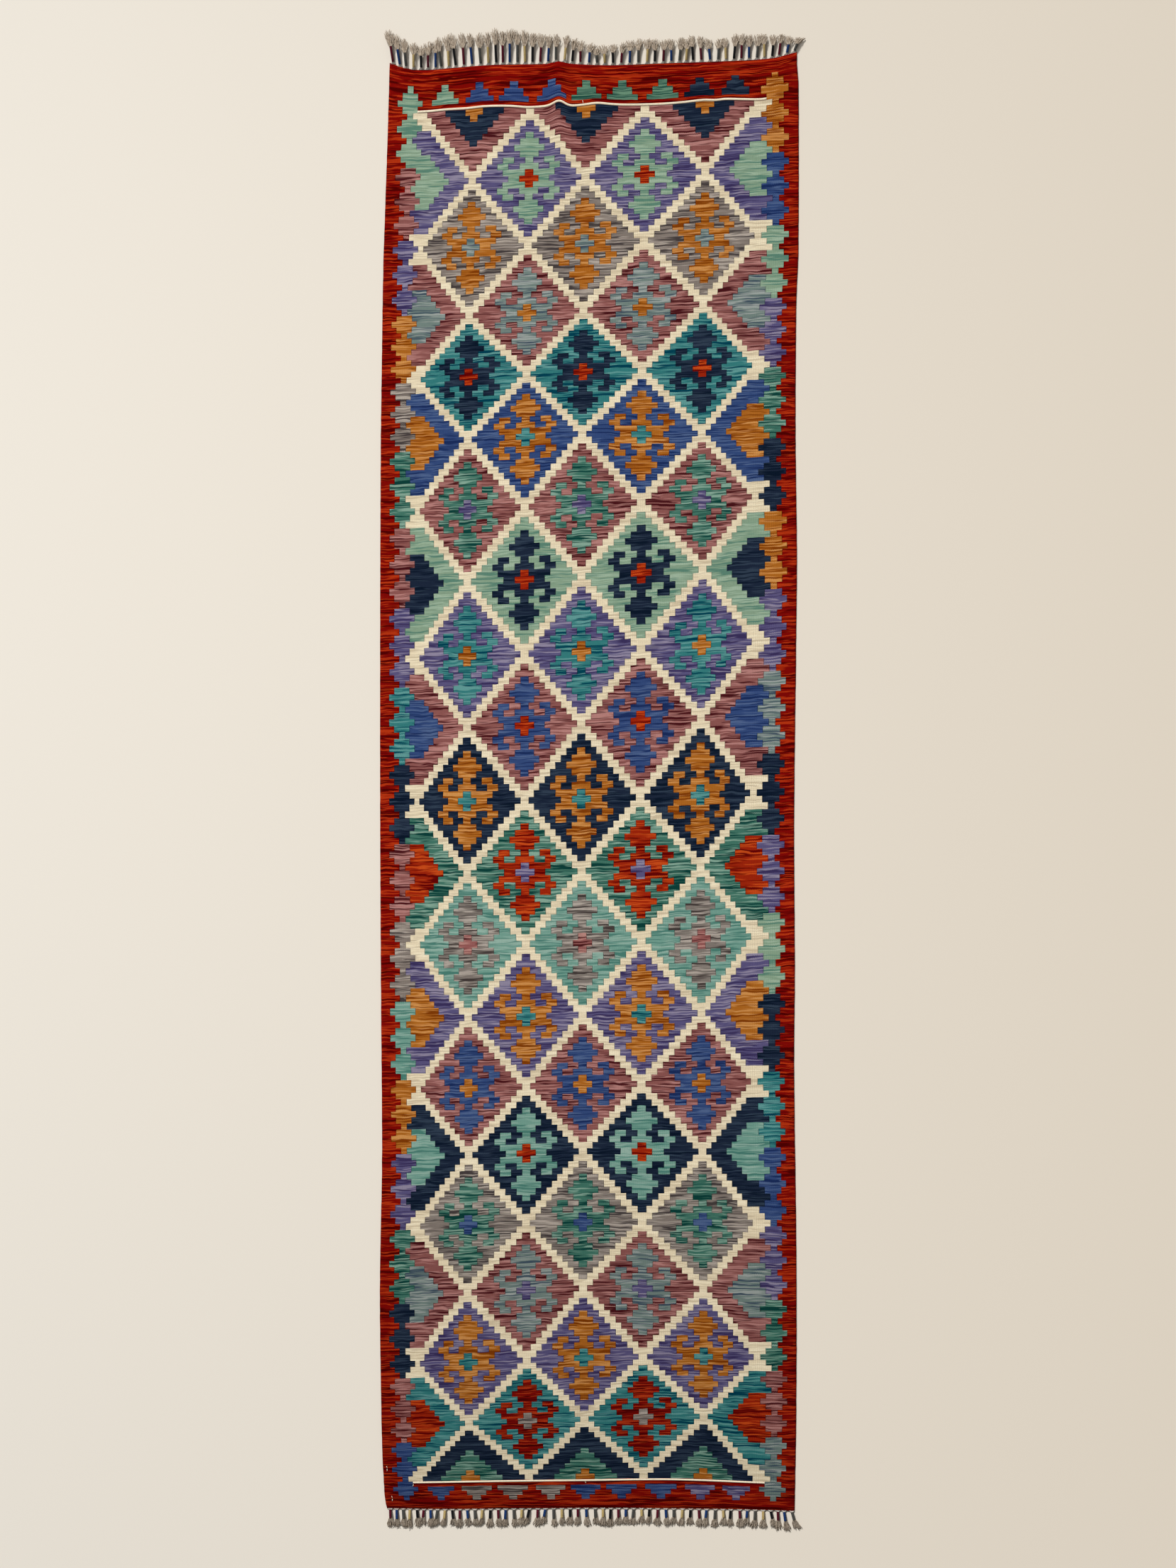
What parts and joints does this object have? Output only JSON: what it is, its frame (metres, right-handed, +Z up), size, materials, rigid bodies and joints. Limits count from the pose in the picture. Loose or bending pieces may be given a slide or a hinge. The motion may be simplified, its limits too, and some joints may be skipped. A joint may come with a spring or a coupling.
{
  "type": "kilim rug",
  "caption": "Flat-woven wool kilim runner with a stepped diamond lattice, red borders and wrapped tassels along both short ends, lying flat.",
  "frame": {"origin": "under the middle of the whole rug, fringes included, on the surface that it lies on", "axes": "+Y along the rug's length towards the end with the longer fringe, +X across its width, +Z up out of its face"},
  "size_m": [0.8532, 3.0568, 0.007],
  "materials": {
    "woven_wool": "weft-faced tapestry weave in matt dyed wool: cream lattice, many-coloured stepped diamonds, streaked red border",
    "fringe_yarn": "matt taupe-grey warp yarn, each tassel wrapped with maroon, blue, grey, cream or black thread"
  },
  "bodies": {
    "root": {"kilim": "woven_wool", "fringe_top": "fringe_yarn", "fringe_bottom": "fringe_yarn"}
  },
  "joints": []
}
